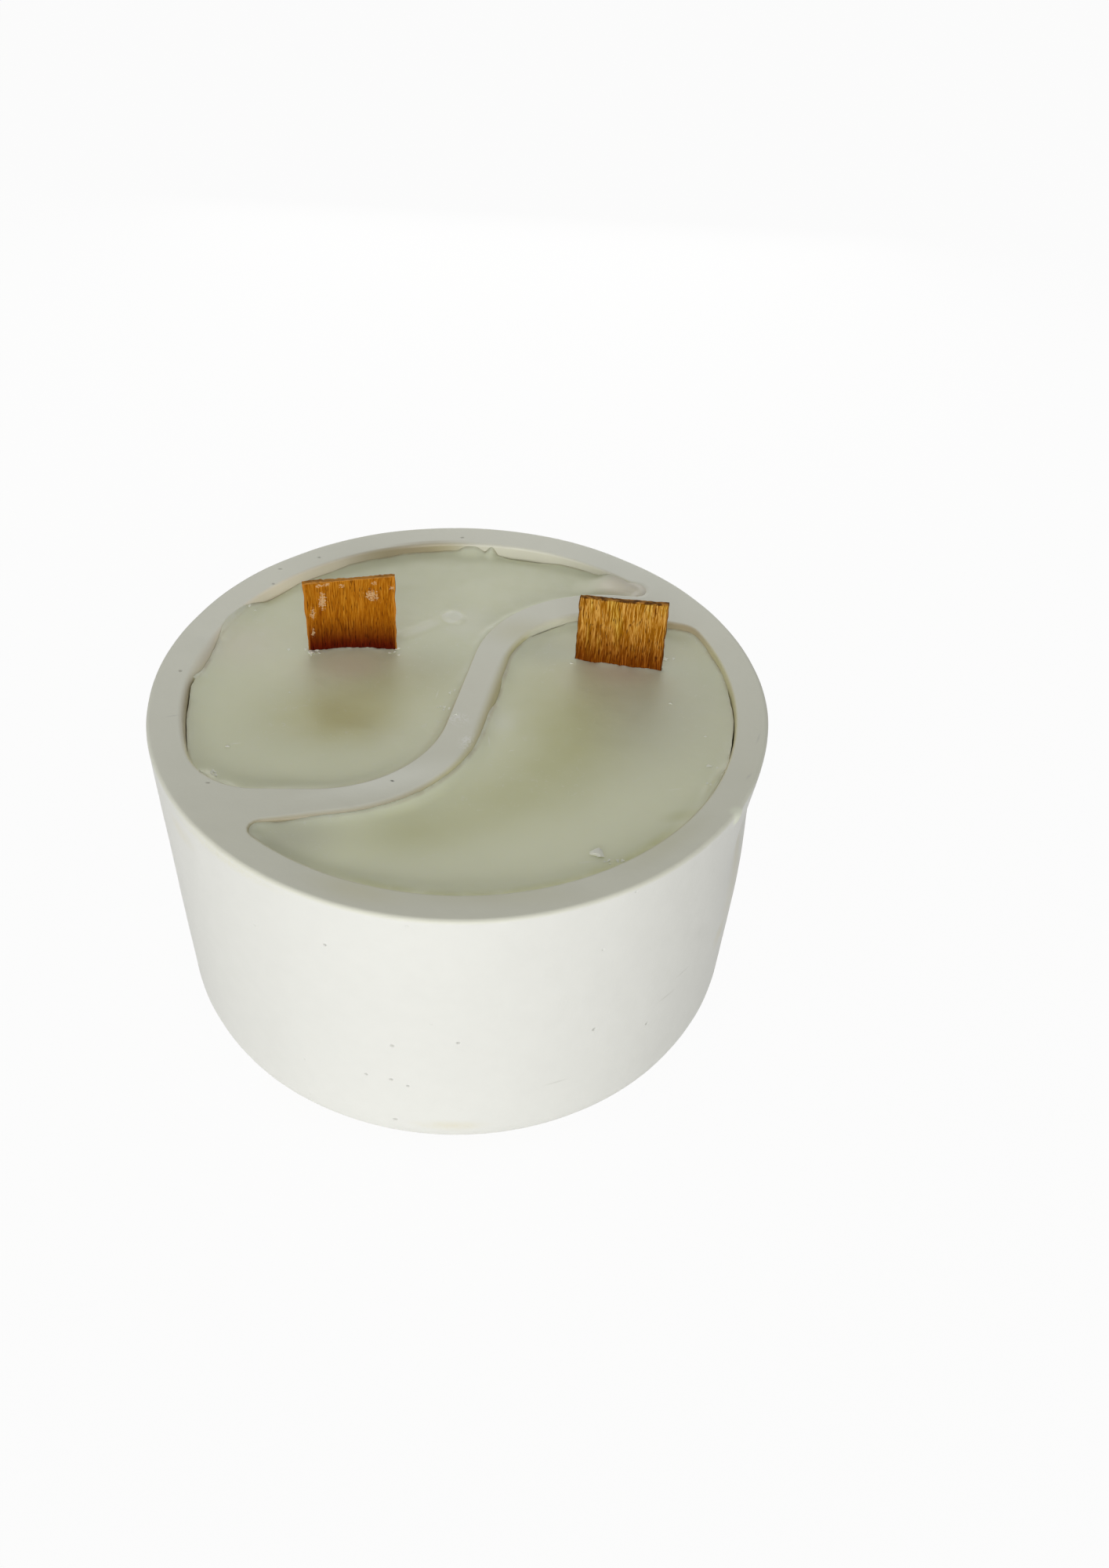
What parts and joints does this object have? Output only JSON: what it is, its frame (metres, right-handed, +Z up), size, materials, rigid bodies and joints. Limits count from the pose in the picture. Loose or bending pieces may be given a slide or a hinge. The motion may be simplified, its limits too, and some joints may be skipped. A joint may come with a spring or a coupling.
{
  "type": "two-wick cup candle",
  "caption": "Round cast cup with an S-shaped dividing wall, two poured wax fills and two flat wooden wicks held in clips.",
  "frame": {"origin": "centre of the cup's flat base, on the surface it stands on", "axes": "+Z up out of the cup; -Y towards the front, the side nearest the camera; +X to the right seen from the front"},
  "size_m": [0.088, 0.088, 0.0634],
  "materials": {
    "plaster": "smooth matte cast plaster, off-white",
    "wax": "satin translucent soy wax, pale green-cream",
    "wick_wood": "thin cherry veneer soaked with wax",
    "tinplate": "plain tin-plated sheet",
    "foam": "white double-sided foam tape"
  },
  "bodies": {
    "root": {"cup": "plaster", "wax_left": "wax", "wax_right": "wax", "wick_left": "wick_wood", "wick_right": "wick_wood", "wick_clip_left": "tinplate", "wick_clip_right": "tinplate", "wick_sticker_left": "foam", "wick_sticker_right": "foam"}
  },
  "joints": []
}
